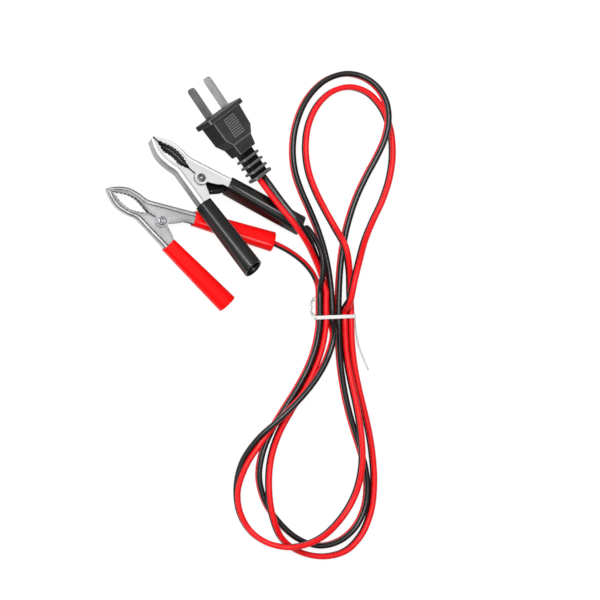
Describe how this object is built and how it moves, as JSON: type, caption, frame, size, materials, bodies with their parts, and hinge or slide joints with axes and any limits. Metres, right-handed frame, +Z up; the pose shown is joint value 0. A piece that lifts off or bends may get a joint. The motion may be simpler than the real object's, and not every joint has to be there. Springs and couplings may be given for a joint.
{
  "type": "car battery charging lead",
  "caption": "Charging lead with a moulded two-pin plug, a red and black twin cord in a tied hank, and two sleeved crocodile clips for battery terminals.",
  "frame": {"origin": "on the table, in the middle between the furthest edges of the plug and the clips, left out of the cord", "axes": "+Z up from the table, +Y from the hank's lower bends to the plug, +X from the clips to the hank"},
  "size_m": [0.1662, 0.2743, 0.0333],
  "materials": {
    "plug_grey": "satin",
    "holder_black": "matt",
    "pin_nickel": "bright nickel",
    "clip_steel": "satin",
    "copper": "bare strands",
    "red_pvc": "soft, slightly glossy",
    "black_pvc": "soft, slightly glossy",
    "tie_white": "coated paper"
  },
  "bodies": {
    "lead": {"plug_body": "plug_grey", "plug_pin_holder": "holder_black", "plug_pin_left": "pin_nickel", "plug_pin_right": "pin_nickel", "plug_wire_ends": "copper", "red_plug_lead": "red_pvc", "black_plug_lead": "black_pvc", "red_hank": "red_pvc", "black_hank": "black_pvc", "twist_tie": "tie_white", "red_clip_lead": "red_pvc", "black_clip_lead": "black_pvc", "red_clip_fixed_half": "clip_steel", "red_clip_rivet": "pin_nickel", "red_clip_spring": "clip_steel", "red_clip_fixed_sleeve": "red_pvc", "red_clip_wire_crimp": "clip_steel", "red_clip_wire_end": "copper", "black_clip_fixed_half": "pin_nickel", "black_clip_rivet": "pin_nickel", "black_clip_spring": "clip_steel", "black_clip_fixed_sleeve": "black_pvc", "black_clip_wire_crimp": "clip_steel", "black_clip_wire_end": "copper"},
    "red_clip_jaw": {"red_clip_moving_half": "clip_steel", "red_clip_moving_sleeve": "red_pvc"},
    "black_clip_jaw": {"black_clip_moving_half": "pin_nickel", "black_clip_moving_sleeve": "black_pvc"}
  },
  "joints": [
    {"name": "red_clip_hinge", "type": "hinge", "parent": "lead", "child": "red_clip_jaw", "pos_m": [-0.02521, -0.01508, 0.0055], "axis": [0, 0, 1], "range_deg": [0, 26], "stiffness_Nm_per_rad": 0.5, "springref_deg": -28.65, "deforming": ["red_clip_spring"]},
    {"name": "black_clip_hinge", "type": "hinge", "parent": "lead", "child": "black_clip_jaw", "pos_m": [-0.00508, 0.00687, 0.01118], "axis": [0.1579, 0.3924, 0.9061], "range_deg": [0, 26], "stiffness_Nm_per_rad": 0.5, "springref_deg": -28.65, "deforming": ["black_clip_spring"]}
  ]
}
